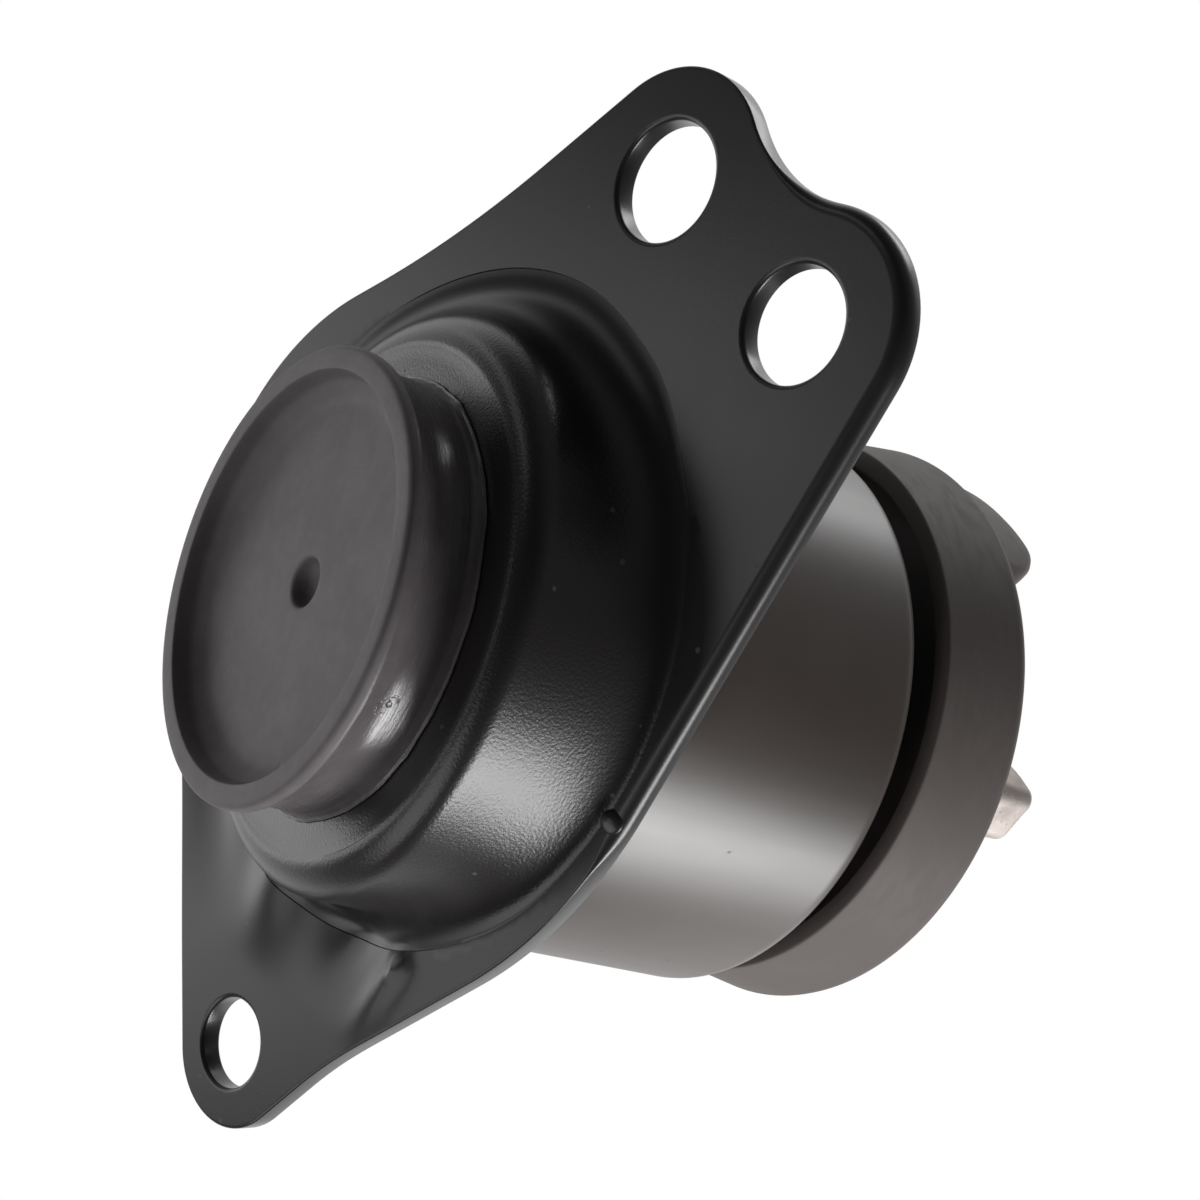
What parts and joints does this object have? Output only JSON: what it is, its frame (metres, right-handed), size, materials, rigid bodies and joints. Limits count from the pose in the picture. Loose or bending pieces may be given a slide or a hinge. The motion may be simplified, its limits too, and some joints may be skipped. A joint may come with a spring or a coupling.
{
  "type": "engine mount",
  "caption": "Fluid-filled engine mount: rubber spring and metal core in a round steel housing, hung in a tilted pressed flange with bolt holes, over a rubber base pad.",
  "frame": {"origin": "centre of the threaded hole in the bracket seat on top of the core", "axes": "+Z along the mount's axis out of the threaded hole, towards the engine bracket; +X along the flange towards its two-hole end; +Y towards the flange's straight edge, where the tilted flange stands higher"},
  "size_m": [0.1468, 0.0902, 0.0989],
  "materials": {
    "black_paint": "satin black dip paint",
    "pad_rubber": "matte dark grey moulded rubber",
    "cap_rubber": "matte brown-grey moulded rubber with a dusty bloom",
    "black_rubber": "matte black rubber",
    "cast_aluminium": "bare cast, lightly blasted",
    "zinc_steel": "zinc plated"
  },
  "bodies": {
    "root": {"flange_cup": "black_paint", "base_pad": "pad_rubber", "sleeve": "black_paint", "bellows_ring": "zinc_steel", "bellows": "black_rubber", "lower_plate": "cast_aluminium", "decoupler": "black_rubber", "upper_plate": "cast_aluminium", "track_rivets": "zinc_steel", "spring_ring": "zinc_steel", "core": "cast_aluminium", "core_insert": "zinc_steel", "bell_plate": "zinc_steel", "bell_screw": "zinc_steel", "main_spring": "black_rubber", "stop_cap": "cap_rubber", "fill_ball": "zinc_steel"}
  },
  "joints": []
}
